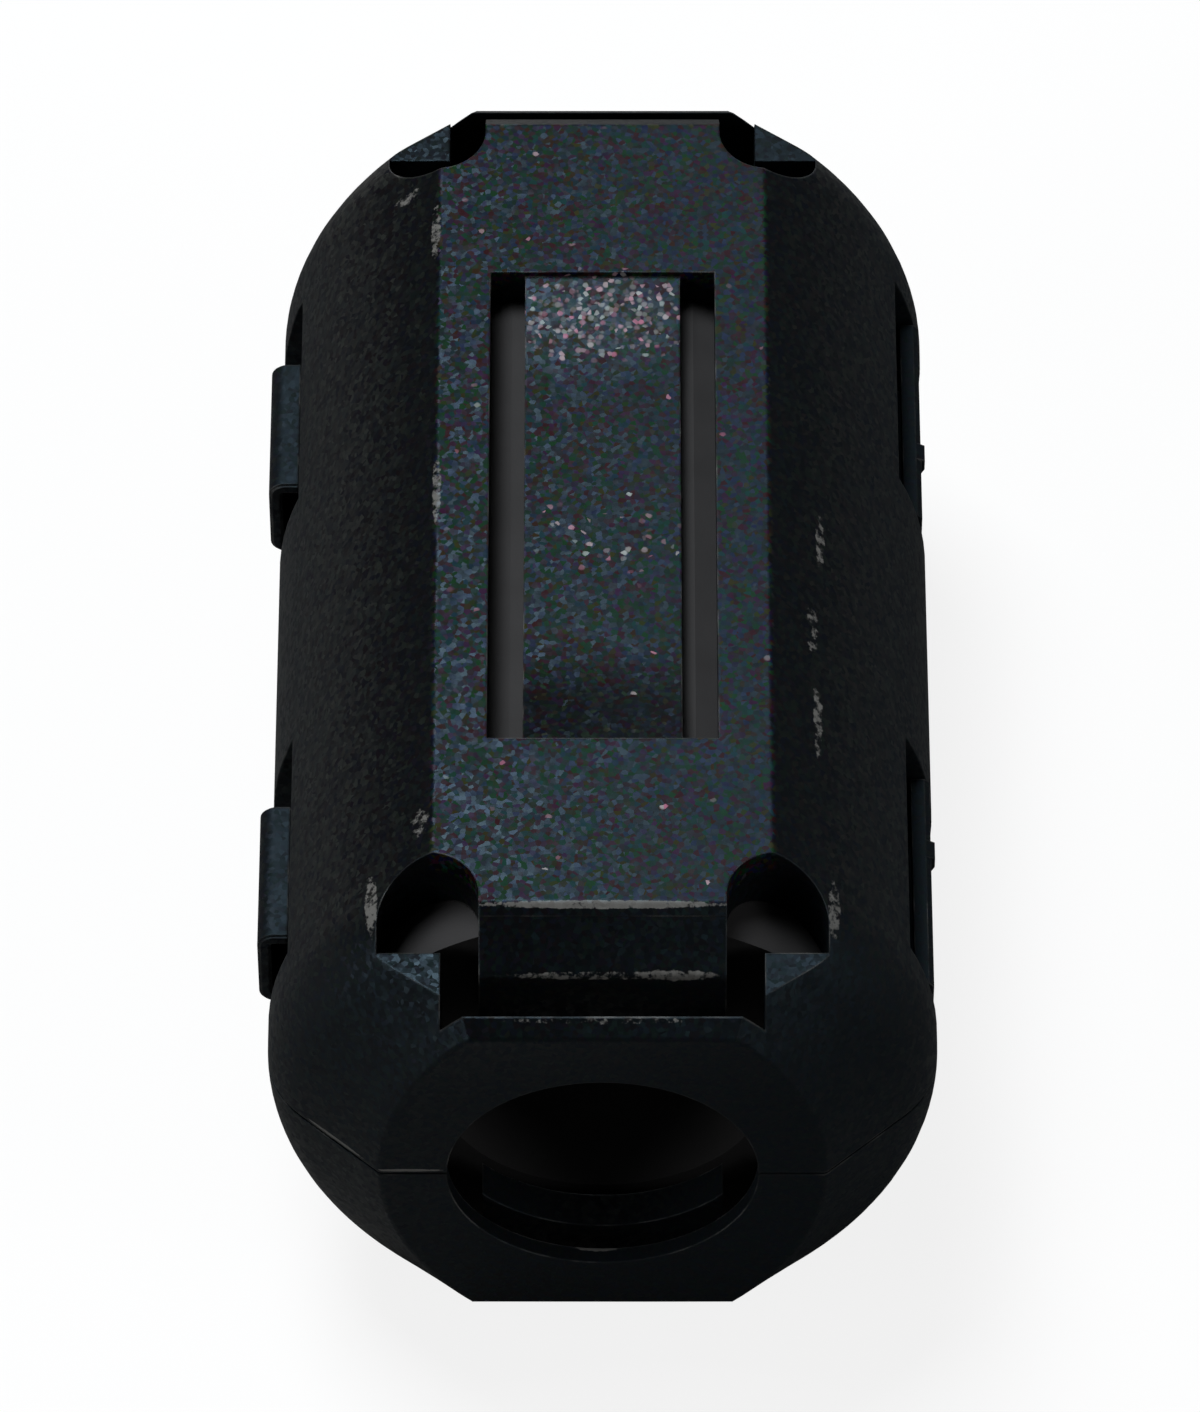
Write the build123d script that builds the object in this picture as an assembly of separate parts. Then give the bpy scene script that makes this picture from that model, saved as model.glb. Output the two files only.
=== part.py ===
from build123d import *
import math
import os

os.makedirs("parts", exist_ok=True)

# Case in mm: X across (+X latch side), Y along the cable, Z up, origin in the cable bore
LENGTH = 35.0
HALF_WIDTH = 9.75
HALF_HEIGHT = 9.25
FLAT_HALF = 4.84
END_TAPER = 2.9
END_DROP = 2.7
END_NARROWING = 3.3
END_FLAT_HALF = 3.8
PART_GAP = 0.06
EDGE_ROUND = 0.2
FLANK_ROUND = 3.0
TAPER_START = LENGTH / 2 - END_TAPER
REACH = 2 * LENGTH

# Cable hole, core and the cavity that holds it
BORE_R = 4.5
CORE_BORE_ROOM = 0.25
CORE_CLEAR = 0.05
SIDE_WALL = 1.4
ROOF = 1.3
CORE_CHAMFER = 0.5
END_WALL = 2.6
CORE_PLAY = 0.35
CORE_R = HALF_WIDTH - SIDE_WALL - CORE_CLEAR
CORE_CROWN = HALF_HEIGHT - ROOF - 2 * CORE_CLEAR
CORE_BORE_R = BORE_R + CORE_BORE_ROOM
END_WALL_IN = LENGTH / 2 - END_WALL
CORE_HALF_LENGTH = END_WALL_IN - CORE_PLAY

# Lips that hold a core half in its shell, over the chamfer of the core
LIP_GAP = 0.08
LIP_FROM = 3.0
LIP_LENGTH = 4.0

# End fingers, their slots, the corner pockets and the shelf of the end wall
FINGER_HALF = 3.52
SLOT = 1.1
FINGER_REACH = 1.5
FINGER_THICK = 1.1
FINGER_CLEAR = 0.12
FINGER_ROUND = 0.3
FINGER_ROOT = 1.0
POCKET_R = 1.46
POCKET_LENGTH = 2.05
OUTER_WALL = 0.5
SHELF_DROP = 2.05
FINGER_TIP_Y = TAPER_START + FINGER_REACH
POCKET_Y = END_WALL_IN - POCKET_LENGTH
POCKET_X = FINGER_HALF + POCKET_R
NOTCH_OUT_Y = LENGTH / 2 - OUTER_WALL
SHELF_Z = HALF_HEIGHT - SHELF_DROP

# Leaf spring in the flat
LEAF_HALF = 2.3
LEAF_SLOT = 1.03
LEAF_THICK = 0.55
LEAF_DROP = 0.2
LEAF_BOW = 0.42
LEAF_RAMP = 3.0
LEAF_BEND_R = 12.0
LEAF_ROOT = 0.3
WINDOW_BRIDGE = 4.1
WINDOW_HALF_X = LEAF_HALF + LEAF_SLOT
WINDOW_HALF_Y = POCKET_Y - WINDOW_BRIDGE

# Hinge side: straps and the seats that carry them
STRAP_BULGE = 0.31
STRAP_THICK = 0.4
STRAP_ROUND = 0.5
STRAP_TOP = 2.5
STRAP_LOW = 0.7
STRAP_HALF_Y = 2.4
SEAT_HALF_Y = 3.9
SEAT_FROM_END = 2.25
SEAT_DEPTH = 0.65
STRAP_OUT = HALF_WIDTH + STRAP_BULGE
STRAP_SEAT = HALF_WIDTH - SEAT_DEPTH
STRAP_Y = TAPER_START - SEAT_FROM_END - SEAT_HALF_Y

# Latch side: loops, hooks and the recess that both lie in
RECESS_DEPTH = 0.88
RECESS_HALF_Y = 3.88
RECESS_FROM_END = 2.0
SEAT_TOP = 5.0
LOOP_GAP = 0.2
LOOP_THICK = 0.55
LOOP_SIDE_GAP = 0.15
LOOP_ROOT = 2.9
LOOP_TOP = 2.4
LOOP_FOOT = 0.3
LOOP_BEVEL = 0.15
EYE_HALF_Y = 2.3
EYE_LOW = 1.4
BAR = 1.1
HOOK_GAP = 0.1
HOOK_SIDE_GAP = 0.2
HOOK_REACH = 0.6
HOOK_NOSE = 0.35
NUB_REACH = 0.12
NUB_HALF_Y = 0.3
NUB_OFFSET = 1.2
RECESS_X = HALF_WIDTH - RECESS_DEPTH
LATCH_Y = TAPER_START - RECESS_FROM_END - RECESS_HALF_Y
EYE_HIGH = LOOP_TOP - BAR


def box(x0, x1, y0, y1, z0, z1):
    """Box between two corners."""
    centre = ((x0 + x1) / 2, (y0 + y1) / 2, (z0 + z1) / 2)
    return Pos(*centre) * Box(x1 - x0, y1 - y0, z1 - z0)


def both_ends(shape):
    """The shape and its mirror image at the other end."""
    return [shape, mirror(shape, about=Plane.XZ)]


def y_prism(points, y0, y1):
    """Prism along Y of a closed outline given as (x, z) points."""
    outline = Polyline(*[(x, y0, z) for x, z in points], close=True)
    return extrude(make_face(outline), amount=y1 - y0, dir=(0, 1, 0))


def along_y(radius, half_length):
    """Cylinder on the cable axis."""
    return Cylinder(radius, 2 * half_length, rotation=(90, 0, 0))


def half_section(half_width, flat_half, half_height, y):
    """Outline of the upper half of the case at station y: flat top and two side arcs,
    which stand upright at the parting plane."""
    centre = (half_width**2 - flat_half**2 - half_height**2) / (2 * (half_width - flat_half))
    radius = half_width - centre
    middle = math.atan2(half_height, flat_half - centre) / 2
    mx, mz = centre + radius * math.cos(middle), radius * math.sin(middle)
    right = ThreePointArc((half_width, y, 0), (mx, y, mz), (flat_half, y, half_height))
    top = Line((flat_half, y, half_height), (-flat_half, y, half_height))
    left = ThreePointArc((-flat_half, y, half_height), (-mx, y, mz), (-half_width, y, 0))
    return make_face([right, top, left, Line((-half_width, y, 0), (half_width, y, 0))])


def case_block():
    """Solid upper half of the case with tapered ends and rounded edges."""
    block = extrude(half_section(HALF_WIDTH, FLAT_HALF, HALF_HEIGHT, -TAPER_START),
                    amount=2 * TAPER_START, dir=(0, 1, 0))
    for side in (-1, 1):
        inner = half_section(HALF_WIDTH, FLAT_HALF, HALF_HEIGHT, side * TAPER_START)
        outer = half_section(HALF_WIDTH - END_NARROWING, END_FLAT_HALF, HALF_HEIGHT - END_DROP,
                             side * LENGTH / 2)
        block += loft([inner, outer], ruled=True)
    folds = [e for e in block.edges() if abs(e.center().X) > FLAT_HALF and e.center().Z > PART_GAP
             and abs(abs(e.center().Y) - TAPER_START) < PART_GAP]
    block = fillet(folds, FLANK_ROUND)
    sharp = [e for e in block.edges() if e.center().Z > PART_GAP
             and (abs(e.center().Z - HALF_HEIGHT) < PART_GAP or abs(abs(e.center().Y) - LENGTH / 2) < PART_GAP)]
    block = fillet(sharp, EDGE_ROUND)
    return block & box(-REACH, REACH, -REACH, REACH, PART_GAP, REACH)


def core_cavity():
    """Round space for a core half, flat over its crown."""
    room = along_y(CORE_R + CORE_CLEAR, END_WALL_IN)
    return room & box(-REACH, REACH, -REACH, REACH, -REACH, CORE_CROWN + 2 * CORE_CLEAR)


def core_lips():
    """Slanted lips at the parting plane, in line with the chamfer of the core."""
    wall = CORE_R + CORE_CLEAR
    foot = CORE_R - CORE_CHAMFER + PART_GAP + LIP_GAP * math.sqrt(2)
    outline = [(foot, PART_GAP), (wall + CORE_CLEAR, PART_GAP), (wall + CORE_CLEAR, wall - foot + PART_GAP)]
    lips = []
    for lip in both_ends(y_prism(outline, LIP_FROM, LIP_FROM + LIP_LENGTH)):
        lips += [lip, mirror(lip, about=Plane.YZ)]
    return lips


def end_cuts():
    """Space round an end finger: two corner pockets, the shelf and the notch in the end wall."""
    finger_zone = box(-FINGER_HALF, FINGER_HALF, 0, FINGER_TIP_Y, 0, REACH)
    outside = POCKET_X + POCKET_R
    cuts = []
    for x in (-POCKET_X, POCKET_X):
        middle_y = POCKET_Y + POCKET_R
        round_end = Pos(x, middle_y, HALF_HEIGHT) * Cylinder(POCKET_R, 2 * HALF_HEIGHT)
        straight = box(x - POCKET_R, x + POCKET_R, middle_y, END_WALL_IN, 0, REACH)
        cuts += [round_end & box(-REACH, REACH, 0, END_WALL_IN, 0, REACH), straight]
    shelf = box(-outside, outside, POCKET_Y + POCKET_R, REACH, SHELF_Z, REACH)
    notch = box(-FINGER_HALF - SLOT, FINGER_HALF + SLOT, END_WALL_IN, NOTCH_OUT_Y, 0, REACH)
    return [cut - finger_zone for cut in cuts + [shelf]] + [notch]


def end_finger():
    """Flat strip that bends down in front of the core and grips the cable."""
    x, root = -FINGER_HALF, POCKET_Y - FINGER_ROOT
    tip_z = HALF_HEIGHT - FINGER_REACH
    inner, under = FINGER_TIP_Y - FINGER_THICK, HALF_HEIGHT - FINGER_THICK
    top = FilletPolyline((x, root, HALF_HEIGHT), (x, TAPER_START, HALF_HEIGHT),
                         (x, FINGER_TIP_Y, tip_z), (x, FINGER_TIP_Y, 0), radius=FINGER_ROUND)
    back = FilletPolyline((x, inner, 0), (x, inner, under), (x, root, under), radius=FINGER_ROUND)
    ends = [Line((x, FINGER_TIP_Y, 0), (x, inner, 0)), Line((x, root, under), (x, root, HALF_HEIGHT))]
    finger = extrude(make_face([top, ends[0], back, ends[1]]), amount=2 * FINGER_HALF, dir=(1, 0, 0))
    return finger - along_y(BORE_R + FINGER_CLEAR, REACH)


def leaf_line(height, y):
    """Profile of the leaf from -y to y: level over the core's middle, ramps up to both roots."""
    low, ramp = height - LEAF_BOW, WINDOW_HALF_Y - LEAF_RAMP
    points = [(-y, height), (-WINDOW_HALF_Y, height), (-ramp, low), (ramp, low), (WINDOW_HALF_Y, height),
              (y, height)]
    line = Polyline(*[(-LEAF_HALF, along, z) for along, z in points])
    bends = line.vertices().sort_by(Axis.Y)[2:4]
    return fillet(bends, LEAF_BEND_R)


def leaf():
    """Leaf spring, fixed at both ends of its window and lowest over the core's middle."""
    x, y, top = -LEAF_HALF, WINDOW_HALF_Y + LEAF_ROOT, HALF_HEIGHT - LEAF_DROP
    under = top - LEAF_THICK
    ends = [Line((x, y, top), (x, y, under)), Line((x, -y, under), (x, -y, top))]
    outline = make_face([leaf_line(top, y), ends[0], leaf_line(under, y), ends[1]])
    return extrude(outline, amount=2 * LEAF_HALF, dir=(1, 0, 0))


def half_shell():
    """Half of the case as both shells share it, drawn as the upper one."""
    shell = case_block() - core_cavity() - along_y(BORE_R, REACH)
    shell -= box(-WINDOW_HALF_X, WINDOW_HALF_X, -WINDOW_HALF_Y, WINDOW_HALF_Y, 0, REACH)
    seat = box(-REACH, -STRAP_SEAT, STRAP_Y - SEAT_HALF_Y, STRAP_Y + SEAT_HALF_Y, 0, SEAT_TOP)
    for cut in end_cuts() + [seat]:
        for piece in both_ends(cut):
            shell -= piece
    for piece in [leaf()] + both_ends(end_finger()) + core_lips():
        shell += piece
    return shell


def latch_recess(height):
    """Flat seat on the latch side, cut square into the flank."""
    return box(RECESS_X, REACH, LATCH_Y - RECESS_HALF_Y, LATCH_Y + RECESS_HALF_Y, 0, height)


def hook():
    """Hook nose under the loop's bar, sloped below so that the loop rides over it."""
    top, tip = EYE_HIGH - HOOK_GAP, RECESS_X + HOOK_REACH
    nose = [(RECESS_X - HOOK_GAP, top), (tip, top), (tip, top - HOOK_NOSE),
            (RECESS_X + HOOK_GAP, 2 * PART_GAP), (RECESS_X - HOOK_GAP, 2 * PART_GAP)]
    half = EYE_HALF_Y - HOOK_SIDE_GAP
    return y_prism(nose, LATCH_Y - half, LATCH_Y + half)


def upper_shell():
    """Shell with the hook noses."""
    shell = half_shell()
    for recess, nose in zip(both_ends(latch_recess(SEAT_TOP)), both_ends(hook())):
        shell = shell - recess + nose
    return shell


def lower_shell():
    """Shell that carries the straps and the latch loops, with a ledge at each loop's root."""
    shell = half_shell()
    for recess in both_ends(latch_recess(LOOP_ROOT)):
        shell -= recess
    return mirror(shell, about=Plane.XY)


def upper_core():
    """Sintered half ring with a flat crown and chamfered outer edges at its ground faces."""
    core = along_y(CORE_R, CORE_HALF_LENGTH) - along_y(CORE_BORE_R, REACH)
    core &= box(-REACH, REACH, -REACH, REACH, 0, CORE_CROWN)
    rims = core.edges().filter_by(Axis.Y).filter_by(lambda e: abs(e.center().Z) < PART_GAP)
    return chamfer([e for e in rims if abs(e.center().X) > CORE_BORE_R + PART_GAP], CORE_CHAMFER)


def strap():
    """Living hinge strap: a thin band that bulges out between its two feet on the seats."""
    y, web = STRAP_Y - STRAP_HALF_Y, STRAP_OUT - STRAP_THICK
    top, low = STRAP_TOP - STRAP_THICK, STRAP_THICK - STRAP_LOW
    outer = FilletPolyline((-STRAP_SEAT, y, STRAP_TOP), (-STRAP_OUT, y, STRAP_TOP),
                           (-STRAP_OUT, y, -STRAP_LOW), (-STRAP_SEAT, y, -STRAP_LOW), radius=STRAP_ROUND)
    inner = FilletPolyline((-STRAP_SEAT, y, low), (-web, y, low), (-web, y, top),
                           (-STRAP_SEAT, y, top), radius=STRAP_ROUND - STRAP_THICK)
    feet = [Line((-STRAP_SEAT, y, -STRAP_LOW), (-STRAP_SEAT, y, low)),
            Line((-STRAP_SEAT, y, top), (-STRAP_SEAT, y, STRAP_TOP))]
    return extrude(make_face([outer, feet[0], inner, feet[1]]), amount=2 * STRAP_HALF_Y, dir=(0, 1, 0))


def latch():
    """Latch loop: a plate on the lower shell with an eye for the hook and a small grip nub."""
    inner = RECESS_X + LOOP_GAP
    outer = inner + LOOP_THICK
    half = RECESS_HALF_Y - LOOP_SIDE_GAP
    side = [(inner, -LOOP_ROOT), (inner + LOOP_FOOT, -LOOP_ROOT), (outer, -EYE_LOW),
            (outer, LOOP_TOP - LOOP_BEVEL), (outer - LOOP_BEVEL, LOOP_TOP), (inner, LOOP_TOP)]
    plate = y_prism(side, LATCH_Y - half, LATCH_Y + half)
    plate -= box(0, REACH, LATCH_Y - EYE_HALF_Y, LATCH_Y + EYE_HALF_Y, -EYE_LOW, EYE_HIGH)
    nub = [(outer - LOOP_BEVEL, EYE_HIGH), (outer + NUB_REACH, EYE_HIGH + BAR / 2),
           (outer + NUB_REACH, LOOP_TOP - LOOP_BEVEL), (outer - LOOP_BEVEL, LOOP_TOP)]
    nub_y = LATCH_Y - NUB_OFFSET
    return plate + y_prism(nub, nub_y - NUB_HALF_Y, nub_y + NUB_HALF_Y)


parts = {
    "lower_shell": lower_shell(),
    "upper_shell": upper_shell(),
    "lower_core": mirror(upper_core(), about=Plane.XY),
    "upper_core": upper_core(),
    "strap_rear": strap(),
    "strap_front": mirror(strap(), about=Plane.XZ),
    "latch_rear": latch(),
    "latch_front": mirror(latch(), about=Plane.XZ),
}
for name, shape in parts.items():
    export_step(shape, f"parts/{name}.step")
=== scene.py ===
import math

import bmesh
import bpy
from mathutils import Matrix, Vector

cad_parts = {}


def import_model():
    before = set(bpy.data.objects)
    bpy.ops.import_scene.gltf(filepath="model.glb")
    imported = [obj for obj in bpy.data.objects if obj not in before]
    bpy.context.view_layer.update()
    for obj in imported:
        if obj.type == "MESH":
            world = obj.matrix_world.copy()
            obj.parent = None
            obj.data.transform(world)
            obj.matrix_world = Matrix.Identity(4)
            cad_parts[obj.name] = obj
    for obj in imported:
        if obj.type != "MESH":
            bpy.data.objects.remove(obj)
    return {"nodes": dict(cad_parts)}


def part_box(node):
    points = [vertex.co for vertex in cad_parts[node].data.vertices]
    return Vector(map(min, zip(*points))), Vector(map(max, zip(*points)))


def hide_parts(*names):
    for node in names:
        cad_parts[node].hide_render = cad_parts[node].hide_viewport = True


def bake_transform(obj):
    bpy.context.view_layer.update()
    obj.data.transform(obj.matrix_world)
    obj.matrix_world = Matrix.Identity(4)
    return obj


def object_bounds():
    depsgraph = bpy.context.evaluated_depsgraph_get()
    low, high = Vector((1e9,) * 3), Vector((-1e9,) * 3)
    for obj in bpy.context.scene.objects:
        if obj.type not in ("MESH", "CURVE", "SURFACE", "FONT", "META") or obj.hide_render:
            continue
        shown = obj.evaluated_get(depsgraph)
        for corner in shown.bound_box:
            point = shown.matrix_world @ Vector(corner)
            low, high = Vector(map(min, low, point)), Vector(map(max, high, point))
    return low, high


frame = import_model()
cad_box = [list(corner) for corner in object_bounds()]

MM = 0.001

# Photograph: size, where the bore's middle falls in it, and the view that gives its perspective
PHOTO_SIZE = (1200, 1412)
PHOTO_ORIGIN = (602.5, 695.4)
PX_PER_MM = 33.4
CAMERA_DISTANCE = 300 * MM
CAMERA_ELEVATION = math.radians(52.15)
CAMERA_CLIP = 10 * MM
SENSOR = 36.0

# Light: a soft lamp high up, a little behind and to the left; three weak ones low round the part, each
# with its direction and power; and a faint world
LAMP_DISTANCE = 0.5
LAMP_SIZE = 0.2
KEY_DIRECTION = (-0.22, 0.26, 0.94)
KEY_POWER = 2.4
KEY_COLOUR = (0.95, 0.98, 1.0)
FILLS = (((-0.85, -0.45, 0.35), 0.5), ((0.85, -0.45, 0.35), 0.45), ((0.0, 1.0, 0.05), 0.28))
FILL_COLOUR = (1.0, 1.0, 1.0)
WORLD_STRENGTH = 0.03

# Floor: its colour for the light that it throws back, its colour for the camera, and the share and
# strength of plain white that the camera sees over it
FLOOR_SIZE = 2.0
FLOOR_ROUGHNESS = 0.9
FLOOR_COLOUR = (0.2, 0.19, 0.18)
FLOOR_SEEN = (0.97, 0.97, 0.97)
FLOOR_WHITENESS = 0.85
FLOOR_GLOW = 1.0

# Case plastic: grains of the spark-eroded surface, each tilted and tinted, and clumps of them; the tint is
# painted light, full on the lit flat and cut to painted shade on the flanks and on the leaf's near end
BLACK = (0.002, 0.002, 0.0021)
SHEEN = 0.25
SHEEN_TINT = (0.5, 0.78, 1.0)
GRAIN = 0.15 * MM
GRAIN_TILT = 0.25
LIT_GRAIN_TINT = 0.05
FLANK_TINT_IN_SHADE = 0.1
LEAF_TINT_IN_SHADE = 0.3
CLUMP = 0.35 * MM
CLUMP_TILT = 0.19

# Roughness on the flats and on the flanks, and what is added left and right and on the leaf's near end
SMOOTH_ROUGHNESS = 0.39
FLANK_ROUGHNESS = 0.58
SIDE_ROUGHNESS = (-0.01, 0.15)
SHADED_ROUGHNESS = -0.13

# Regions of the case, in mm from the middle: each fades in or out between its two numbers
FLAT_HEIGHT = (8.3, 8.6)
FLAT_HALF_WIDTH = (4.8, 5.0)
FLAT_HALF_LENGTH = (14.55, 14.7)
LEAF_HALF_WIDTH = (2.4, 2.5)
LEAF_SHADE = (-7.6, -4.2)
LEAF_END = (-8.85, -8.75)
FLANK_HEIGHT = (3.0, 8.0)
LEFT_TO_RIGHT = (-5.0, 5.0)
FAR_EDGE = (13.0, 14.5)

# Painted glints, bright specks painted into the colour where highlights fall: size, share of them away
# from the glint places, spread of their strength, soft rim, and their two colours
PAINTED_GLINT_SIZE = 0.16 * MM
PAINTED_GLINT_SHARE = 0.005
PAINTED_GLINT_CONTRAST = 1.8
PAINTED_GLINT_RIM = (0.4, 0.85)
PAINTED_GLINT_PINK = (0.4, 0.12, 0.2)
PAINTED_GLINT_PALE = (0.3, 0.36, 0.34)

# Wear and painted highlights: their pale colour, how wide edges are rounded, how well the rounded normal
# agrees with the true one where an edge is fully worn and where it isn't at all, the flakes of the scuffs,
# the patches of wear along edges, and the least of it along them and at the far end
PALE_WEAR_AND_HIGHLIGHT = (0.13, 0.127, 0.12)
EDGE_WIDTH = 0.09 * MM
EDGE_AGREEMENT = (0.8, 0.99)
FLAKE = 0.28 * MM
FLAKE_RIM = (1.0, 1.15)
PATCH = 4 * FLAKE
PATCH_RIM = (0.45, 0.7)
LEAST_WEAR = 0.15
FAR_WEAR = 0.1

# Scuffs, among them painted highlights, and the places of the painted glints: centre and radii in mm, and
# how densely the place is marked
SCUFFS_AND_PAINTED_HIGHLIGHTS = [
    ((6.35, -0.6, 7.95), (0.28, 1.9, 0.5), 0.55),
    ((6.05, -4.0, 8.2), (0.45, 1.8, 0.5), 0.5),
    ((6.2, -7.2, 8.1), (0.3, 2.6, 0.5), 0.55),
    ((-5.8, 12.3, 8.5), (1.2, 0.45, 0.8), 0.53),
    ((-4.95, 10.5, 9.1), (0.3, 2.0, 0.4), 0.55),
    ((-4.85, 0.5, 9.2), (0.25, 2.3, 0.3), 0.6),
    ((-5.3, -11.6, 9.0), (0.8, 1.0, 0.5), 0.52),
    ((-6.62, -13.7, 7.8), (0.35, 2.0, 0.9), 0.62),
    ((6.62, -13.9, 7.8), (0.35, 1.8, 0.9), 0.6),
    # painted highlight: a pale line along the finger's rounded fold
    ((0.0, -14.66, 9.2), (5.6, 0.2, 0.25), 0.72),
    # partly wear, partly painted highlight: the finger's rounded tip edge
    ((0.0, -16.1, 7.72), (5.2, 0.22, 0.3), 0.58),
    ((2.0, -16.1, 7.72), (2.2, 0.25, 0.4), 0.62),
    ((0.0, -17.1, 6.95), (5.5, 0.2, 0.2), 0.48),
    ((-5.6, -17.5, 0.17), (1.6, 0.4, 0.1), 0.85),
    ((-7.6, -16.3, 0.17), (1.8, 1.8, 0.1), 0.8),
    # painted reflection: a pale mark inside the bore
    ((-0.2, -17.0, -4.5), (1.1, 0.2, 0.25), 0.7),
]
# painted glints: dense on the leaf's far end, thin on the middle of the flat
PAINTED_GLINT_PLACES = [((0.0, 7.3, 9.0), (3.4, 2.0, 1.0), 0.65), ((0.2, -0.9, 8.7), (2.6, 1.6, 1.0), 0.12)]
BLOB_RIM = (0.4, 1.0)

# Ferrite: colour, how much of it is left in the dark clouds, and the pressed grain
FERRITE = (0.044, 0.043, 0.044)
FERRITE_DARK = 0.7
FERRITE_CLOUD = 1.5 * MM
FERRITE_GRAIN = 0.12 * MM
FERRITE_RELIEF = 0.015 * MM
FERRITE_RELIEF_STRENGTH = 0.4
FERRITE_ROUGHNESS = 0.55
FERRITE_SHEEN = 0.08

# Hinge straps: band as in the CAD, rows of faces along it, rounding of its long edges, and the angles
# in radians from which an edge is a long one and from which it is shaded sharp
STRAP_THICK = 0.4 * MM
STRAP_CORNER = 0.5 * MM
WEB_ROWS = 24
CORNER_ROWS = 6
STRAP_ROUNDING = 0.07 * MM
LONG_EDGE_ANGLE = 1.2
SHARP_ANGLE = 0.3


class Material:
    """Node material that is built up by short calls; sockets and plain numbers mix freely."""

    def __init__(self, name):
        self.data = bpy.data.materials.new(name)
        self.data.use_nodes = True
        self.tree = self.data.node_tree
        self.tree.nodes.clear()
        self.shader = self.new("ShaderNodeBsdfPrincipled")
        self.output = self.new("ShaderNodeOutputMaterial")
        self.place = self.new("ShaderNodeTexCoord").outputs["Object"]
        self.link(self.shader.outputs["BSDF"], self.output.inputs["Surface"])

    def new(self, kind, **settings):
        made = self.tree.nodes.new(kind)
        for key, value in settings.items():
            setattr(made, key, value)
        return made

    def link(self, source, target):
        self.tree.links.new(source, target)

    def put(self, socket, value):
        if isinstance(value, bpy.types.NodeSocket):
            self.link(value, socket)
        else:
            socket.default_value = value

    def math(self, operation, *values):
        made = self.new("ShaderNodeMath", operation=operation)
        for socket, value in zip(made.inputs, values):
            self.put(socket, value)
        return made.outputs[0]

    def vector(self, operation, *values, out="Vector"):
        made = self.new("ShaderNodeVectorMath", operation=operation)
        for socket, value in zip(made.inputs, values):
            self.put(socket, value)
        return made.outputs[out]

    def scaled(self, vector, by):
        made = self.new("ShaderNodeVectorMath", operation="SCALE")
        self.link(vector, made.inputs[0])
        self.put(made.inputs["Scale"], by)
        return made.outputs["Vector"]

    def centred(self, colour):
        """Random colour as a vector that points anywhere, from -0.5 to 0.5 on each axis."""
        return self.vector("SUBTRACT", colour, (0.5, 0.5, 0.5))

    def noise(self, size, detail=2.0, roughness=0.5, out="Fac"):
        """Noise with features about size metres across."""
        made = self.new("ShaderNodeTexNoise")
        for name, value in (("Scale", 1 / size), ("Detail", detail), ("Roughness", roughness)):
            made.inputs[name].default_value = value
        self.link(self.place, made.inputs["Vector"])
        return made.outputs[out]

    def cells(self, size):
        """Random colour of each grain of about size metres, and the distance from its middle in grains."""
        made = self.new("ShaderNodeTexVoronoi")
        made.inputs["Scale"].default_value = 1 / size
        self.link(self.place, made.inputs["Vector"])
        return made.outputs["Color"], made.outputs["Distance"]

    def step(self, value, low, high, start=0.0, end=1.0):
        """start below low, end above high, smooth between."""
        made = self.new("ShaderNodeMapRange", interpolation_type="SMOOTHSTEP")
        for name, number in (("Value", value), ("From Min", low), ("From Max", high),
                             ("To Min", start), ("To Max", end)):
            self.put(made.inputs[name], number)
        return made.outputs["Result"]

    def fade(self, value, region, start=0.0, end=1.0):
        """Step between the two numbers of a region, which are in mm."""
        return self.step(value, region[0] * MM, region[1] * MM, start, end)

    def mix(self, factor, a, b):
        made = self.new("ShaderNodeMix", data_type="RGBA")
        colours = [socket for socket in made.inputs if socket.type == "RGBA"]
        self.put(made.inputs["Factor"], factor)
        for socket, value in zip(colours, (a, b)):
            self.put(socket, (*value, 1.0) if isinstance(value, tuple) else value)
        return [socket for socket in made.outputs if socket.type == "RGBA"][0]

    def blob(self, centre, radii, density):
        """density in the middle of an ellipsoid, 0 outside it; centre and radii in mm."""
        offset = self.vector("SUBTRACT", self.place, [c * MM for c in centre])
        scaled = self.vector("MULTIPLY", offset, [1 / (r * MM) for r in radii])
        inside = self.step(self.vector("LENGTH", scaled, out="Value"), *BLOB_RIM, 1.0, 0.0)
        return self.math("MULTIPLY", inside, density)

    def strongest(self, values):
        total = values[0]
        for value in values[1:]:
            total = self.math("MAXIMUM", total, value)
        return total


def edges(mat):
    """Share of a point that lies on a sharp edge, and the rounded normal there."""
    bevel = mat.new("ShaderNodeBevel", samples=6)
    bevel.inputs["Radius"].default_value = EDGE_WIDTH
    straight = mat.new("ShaderNodeNewGeometry").outputs["Normal"]
    alike = mat.vector("DOT_PRODUCT", bevel.outputs["Normal"], straight, out="Value")
    return mat.step(alike, *EDGE_AGREEMENT, 1.0, 0.0), bevel.outputs["Normal"]


def pale_wear_and_highlights(mat, edge, y):
    """Share of a point that is painted pale: worn sharp edges in patches, and the scuffs in flakes, some
    of them painted highlights.
    """
    patches = mat.step(mat.noise(PATCH, detail=3.0), *PATCH_RIM, LEAST_WEAR, 1.0)
    pale_share = mat.math("MULTIPLY", edge, patches)
    pale_share = mat.math("MULTIPLY", pale_share, mat.fade(y, FAR_EDGE, 1.0, FAR_WEAR))
    flakes = mat.noise(FLAKE, detail=4.0, roughness=0.7)
    for pale_mark in SCUFFS_AND_PAINTED_HIGHLIGHTS:
        flaked = mat.math("ADD", flakes, mat.blob(*pale_mark))
        pale_share = mat.math("MAXIMUM", pale_share, mat.step(flaked, *FLAKE_RIM))
    return pale_share


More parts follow.
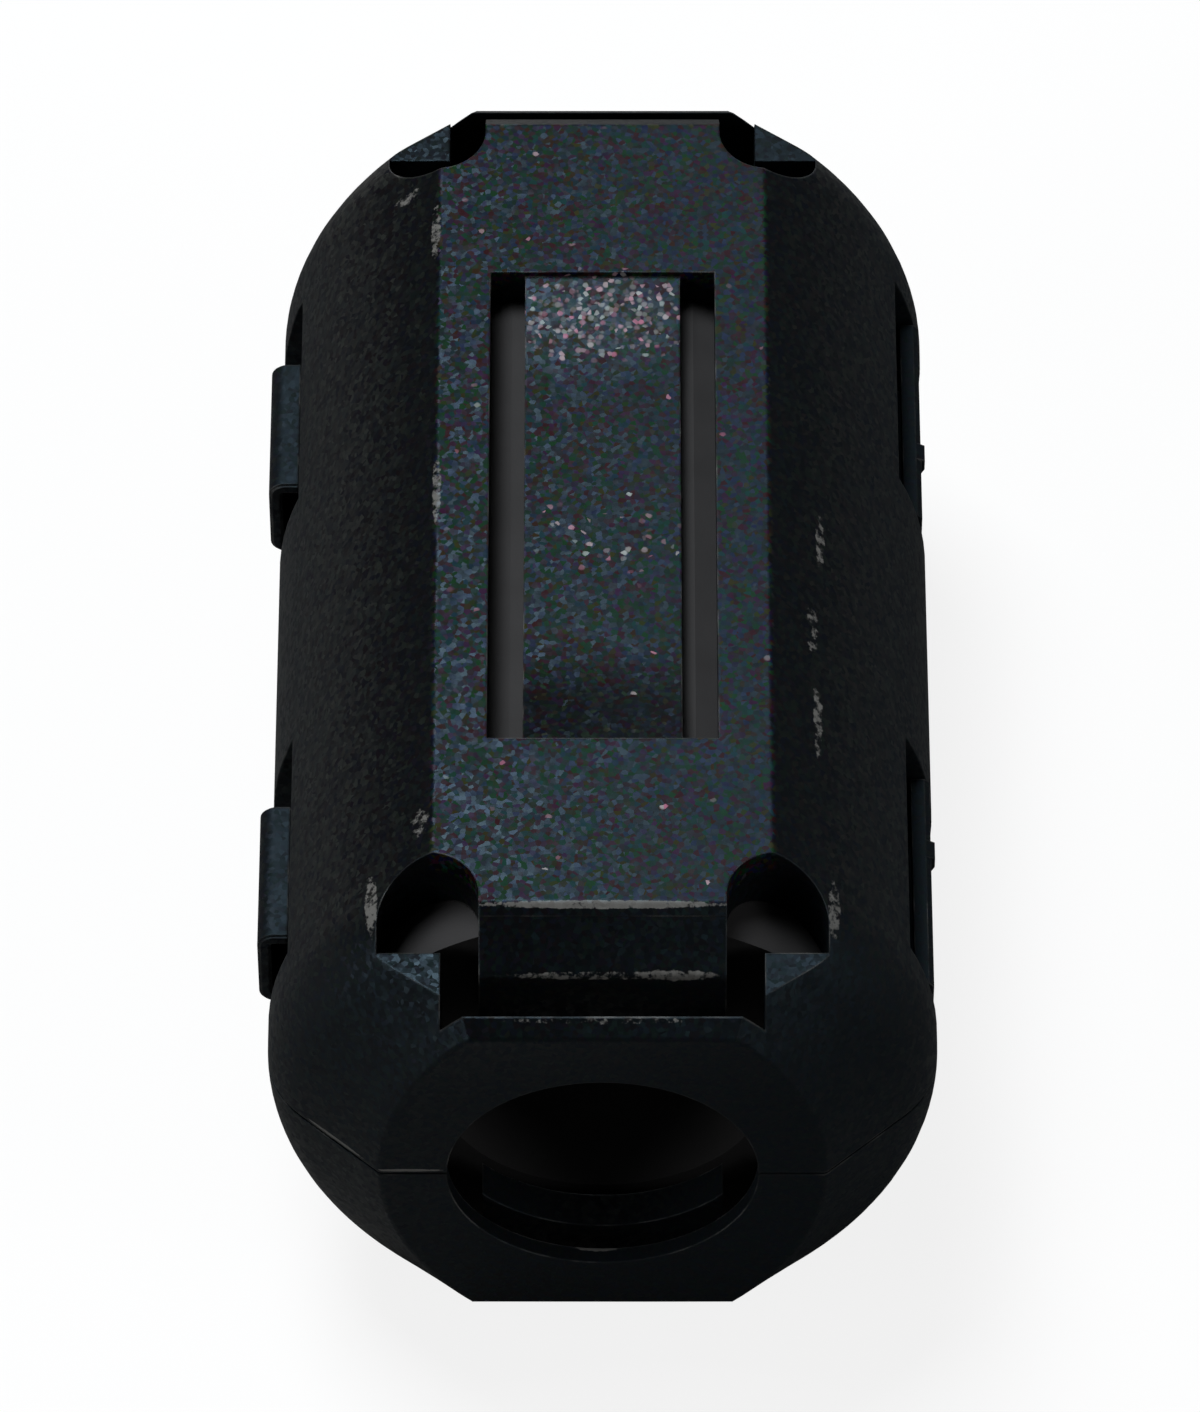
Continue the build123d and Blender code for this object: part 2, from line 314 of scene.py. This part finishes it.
def painted_glints(mat, flat):
    """Strength of a painted glint, a bright speck painted into the colour as a highlight, at a point of
    the flat, mostly at the glint places, and its colour.
    """
    share = mat.math("ADD", mat.strongest([mat.blob(*glint) for glint in PAINTED_GLINT_PLACES]), PAINTED_GLINT_SHARE)
    colour, distance = mat.cells(PAINTED_GLINT_SIZE)
    draw = mat.new("ShaderNodeSeparateColor")
    mat.link(colour, draw.inputs["Color"])
    chosen = mat.math("LESS_THAN", draw.outputs["Blue"], mat.math("MULTIPLY", share, flat))
    strength = mat.math("POWER", draw.outputs["Green"], PAINTED_GLINT_CONTRAST)
    inside = mat.step(distance, *PAINTED_GLINT_RIM, 1.0, 0.0)
    painted_glint = mat.math("MULTIPLY", mat.math("MULTIPLY", chosen, strength), inside)
    return painted_glint, mat.mix(draw.outputs["Red"], PAINTED_GLINT_PINK, PAINTED_GLINT_PALE)


def case_material():
    """Black moulded plastic: faceted grain with a tint painted as light on the flat and as shade on the
    flanks and the leaf's near end, painted glints, worn edges, and scuffs among which are painted
    highlights.
    """
    mat = Material("case_plastic")
    place = mat.new("ShaderNodeSeparateXYZ")
    mat.link(mat.place, place.inputs["Vector"])
    x, y = place.outputs["X"], place.outputs["Y"]
    aside, along, height = (mat.math("ABSOLUTE", place.outputs[axis]) for axis in "XYZ")
    flat = mat.math("MULTIPLY", mat.fade(height, FLAT_HEIGHT), mat.fade(aside, FLAT_HALF_WIDTH, 1.0, 0.0))
    flat = mat.math("MULTIPLY", flat, mat.fade(along, FLAT_HALF_LENGTH, 1.0, 0.0))
    shaded = mat.math("MULTIPLY", mat.fade(aside, LEAF_HALF_WIDTH, 1.0, 0.0),
                      mat.fade(y, LEAF_SHADE, 1.0, 0.0))
    shaded = mat.math("MULTIPLY", shaded, mat.fade(y, LEAF_END))

    edge, rounded = edges(mat)
    grain = mat.centred(mat.cells(GRAIN)[0])
    clumps = mat.centred(mat.noise(CLUMP, out="Color"))
    tilt = mat.vector("ADD", mat.scaled(grain, GRAIN_TILT), mat.scaled(clumps, CLUMP_TILT))
    mat.link(mat.vector("NORMALIZE", mat.vector("ADD", rounded, tilt)), mat.shader.inputs["Normal"])

    # painted light: the grain's tint lightens the lit flat and is cut to painted shade on the flanks and
    # on the leaf's near end
    lit_tint_share = mat.math("MULTIPLY", flat, mat.math("MULTIPLY_ADD", shaded, LEAF_TINT_IN_SHADE - 1.0, 1.0))
    tint_by_light = mat.math("MULTIPLY_ADD", lit_tint_share, (1.0 - FLANK_TINT_IN_SHADE) * LIT_GRAIN_TINT, FLANK_TINT_IN_SHADE * LIT_GRAIN_TINT)
    grain_tint_and_painted_light = mat.vector("MAXIMUM", mat.scaled(grain, tint_by_light), (0, 0, 0))
    # painted glints: bright specks painted into the colour as highlights
    painted_glint, painted_glint_colour = painted_glints(mat, flat)
    grain_and_painted_glints = mat.mix(painted_glint, mat.vector("ADD", grain_tint_and_painted_light, BLACK), painted_glint_colour)
    # pale wear, with painted highlights among the scuffs, over the grain, its painted light and the
    # painted glints
    mat.link(mat.mix(pale_wear_and_highlights(mat, edge, y), grain_and_painted_glints, PALE_WEAR_AND_HIGHLIGHT), mat.shader.inputs["Base Color"])

    roughness = mat.fade(height, FLANK_HEIGHT, FLANK_ROUGHNESS, SMOOTH_ROUGHNESS)
    roughness = mat.math("MULTIPLY_ADD", shaded, SHADED_ROUGHNESS, roughness)
    roughness = mat.math("ADD", roughness, mat.fade(x, LEFT_TO_RIGHT, *SIDE_ROUGHNESS))
    mat.link(roughness, mat.shader.inputs["Roughness"])
    mat.shader.inputs["Specular IOR Level"].default_value = SHEEN
    mat.shader.inputs["Specular Tint"].default_value = (*SHEEN_TINT, 1.0)
    return mat.data


def ferrite_material():
    """Bare sintered ferrite: dull grey-brown with a fine pressed grain."""
    mat = Material("ferrite")
    dark = tuple(FERRITE_DARK * c for c in FERRITE)
    clouds = mat.noise(FERRITE_CLOUD, detail=3.0)
    mat.link(mat.mix(clouds, dark, FERRITE), mat.shader.inputs["Base Color"])
    bump = mat.new("ShaderNodeBump")
    bump.inputs["Strength"].default_value = FERRITE_RELIEF_STRENGTH
    bump.inputs["Distance"].default_value = FERRITE_RELIEF
    mat.link(mat.noise(FERRITE_GRAIN, detail=3.0, roughness=0.6), bump.inputs["Height"])
    mat.link(bump.outputs["Normal"], mat.shader.inputs["Normal"])
    mat.shader.inputs["Roughness"].default_value = FERRITE_ROUGHNESS
    mat.shader.inputs["Specular IOR Level"].default_value = FERRITE_SHEEN
    return mat.data


def strap_line(low, high):
    """Middle line of a strap in x and z: out of the upper seat, down the web, into the lower seat."""
    radius = STRAP_CORNER - STRAP_THICK / 2
    corner_x = low.x + STRAP_CORNER
    upper_z, lower_z = high.z - STRAP_CORNER, low.z + STRAP_CORNER
    line = [(high.x, high.z - STRAP_THICK / 2), (corner_x, high.z - STRAP_THICK / 2)]
    for i in range(1, CORNER_ROWS + 1):
        angle = math.pi / 2 * (1 + i / CORNER_ROWS)
        line.append((corner_x + radius * math.cos(angle), upper_z + radius * math.sin(angle)))
    for i in range(1, WEB_ROWS + 1):
        line.append((low.x + STRAP_THICK / 2, upper_z + (lower_z - upper_z) * i / WEB_ROWS))
    for i in range(1, CORNER_ROWS + 1):
        angle = math.pi + math.pi / 2 * i / CORNER_ROWS
        line.append((corner_x + radius * math.cos(angle), lower_z + radius * math.sin(angle)))
    line.append((high.x, low.z + STRAP_THICK / 2))
    return line


def strap_mesh(name, line, front, back):
    """Band along a line in x and z, from y = front to y = back, with rounded long edges."""
    mesh = bmesh.new()
    rings = []
    for i, (x, z) in enumerate(line):
        before, after = line[max(i - 1, 0)], line[min(i + 1, len(line) - 1)]
        along = Vector((after[0] - before[0], after[1] - before[1])).normalized()
        side = Vector((along.y, -along.x)) * STRAP_THICK / 2
        rings.append([mesh.verts.new((x + sign * side.x, y, z + sign * side.y))
                      for sign, y in ((1, front), (1, back), (-1, back), (-1, front))])
    for a, b in zip(rings, rings[1:]):
        for i in range(4):
            mesh.faces.new((a[i], a[(i + 1) % 4], b[(i + 1) % 4], b[i]))
    mesh.faces.new(rings[0])
    mesh.faces.new(rings[-1][::-1])
    bmesh.ops.recalc_face_normals(mesh, faces=mesh.faces)
    long_edges = [edge for edge in mesh.edges
                  if len(edge.link_faces) == 2 and edge.calc_face_angle(0) > LONG_EDGE_ANGLE]
    bmesh.ops.bevel(mesh, geom=long_edges, offset=STRAP_ROUNDING, segments=2, affect="EDGES")
    data = bpy.data.meshes.new(name)
    mesh.to_mesh(data)
    mesh.free()
    data.shade_smooth()
    data.set_sharp_from_angle(angle=SHARP_ANGLE)
    return data


def strap_piece(node, mat):
    """Hinge strap: the band of the CAD strap with rows of faces along its web."""
    low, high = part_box(node)
    data = strap_mesh(node + "_bend", strap_line(low, high), low.y, high.y)
    data.materials.append(mat)
    piece = bpy.data.objects.new(node + "_bend", data)
    bpy.context.collection.objects.link(piece)
    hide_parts(node)
    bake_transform(piece)


def dress(name, mat):
    """Give a CAD node its material."""
    for slot in frame["nodes"][name].material_slots:
        slot.material = mat


def camera():
    """Camera at the photograph's angle and scale."""
    data = bpy.data.cameras.new("photo_camera")
    data.sensor_width = SENSOR
    data.lens = PX_PER_MM * CAMERA_DISTANCE / MM / max(PHOTO_SIZE) * SENSOR
    data.clip_start = CAMERA_CLIP
    view = Vector((0, math.cos(CAMERA_ELEVATION), -math.sin(CAMERA_ELEVATION)))
    up = Vector((0, math.sin(CAMERA_ELEVATION), math.cos(CAMERA_ELEVATION)))
    aside = (PHOTO_SIZE[0] / 2 - PHOTO_ORIGIN[0]) / PX_PER_MM * MM
    above = (PHOTO_ORIGIN[1] - PHOTO_SIZE[1] / 2) / PX_PER_MM * MM
    cam = bpy.data.objects.new("photo_camera", data)
    cam.location = Vector((aside, 0, 0)) + up * above - view * CAMERA_DISTANCE
    cam.rotation_euler = view.to_track_quat("-Z", "Y").to_euler()
    bpy.context.collection.objects.link(cam)
    bpy.context.scene.camera = cam


def lamp(name, direction, power, colour):
    """Square soft light that faces the part."""
    data = bpy.data.lights.new(name, "AREA")
    data.size, data.energy, data.color = LAMP_SIZE, power, colour
    away = Vector(direction).normalized()
    made = bpy.data.objects.new(name, data)
    made.location = away * LAMP_DISTANCE
    made.rotation_euler = (-away).to_track_quat("-Z", "Y").to_euler()
    bpy.context.collection.objects.link(made)


def floor():
    """Floor that is nearly white to the camera and still shows the part's shadow."""
    bpy.ops.mesh.primitive_plane_add(size=FLOOR_SIZE, location=(0, 0, cad_box[0][2]))
    plane = bpy.context.object
    plane.name = "floor"
    mat = Material("floor")
    mat.shader.inputs["Roughness"].default_value = FLOOR_ROUGHNESS
    glow = mat.new("ShaderNodeEmission")
    glow.inputs["Strength"].default_value = FLOOR_GLOW
    seen = mat.new("ShaderNodeMixShader")
    from_camera = mat.new("ShaderNodeLightPath").outputs["Is Camera Ray"]
    mat.link(mat.mix(from_camera, FLOOR_COLOUR, FLOOR_SEEN), mat.shader.inputs["Base Color"])
    mat.link(mat.math("MULTIPLY", from_camera, FLOOR_WHITENESS), seen.inputs["Fac"])
    mat.link(mat.shader.outputs["BSDF"], seen.inputs[1])
    mat.link(glow.outputs["Emission"], seen.inputs[2])
    mat.link(seen.outputs["Shader"], mat.output.inputs["Surface"])
    plane.data.materials.append(mat.data)


def world():
    """Faint light from all round; white to the camera."""
    made = bpy.data.worlds.new("studio")
    bpy.context.scene.world = made
    made.use_nodes = True
    nodes, links = made.node_tree.nodes, made.node_tree.links
    nodes.clear()
    strength = nodes.new("ShaderNodeMapRange")
    strength.inputs["To Min"].default_value = WORLD_STRENGTH
    strength.inputs["To Max"].default_value = 1.0
    links.new(nodes.new("ShaderNodeLightPath").outputs["Is Camera Ray"], strength.inputs["Value"])
    background = nodes.new("ShaderNodeBackground")
    background.inputs["Color"].default_value = (1, 1, 1, 1)
    links.new(strength.outputs["Result"], background.inputs["Strength"])
    links.new(background.outputs["Background"], nodes.new("ShaderNodeOutputWorld").inputs["Surface"])


case = case_material()
ferrite = ferrite_material()
for name in frame["nodes"]:
    dress(name, ferrite if "core" in name else case)
for name in ("strap_front", "strap_rear"):
    strap_piece(name, case)

camera()
lamp("key", KEY_DIRECTION, KEY_POWER, KEY_COLOUR)
for number, (direction, power) in enumerate(FILLS):
    lamp(f"fill_{number}", direction, power, FILL_COLOUR)
floor()
world()
bpy.context.scene.view_settings.view_transform = "Standard"
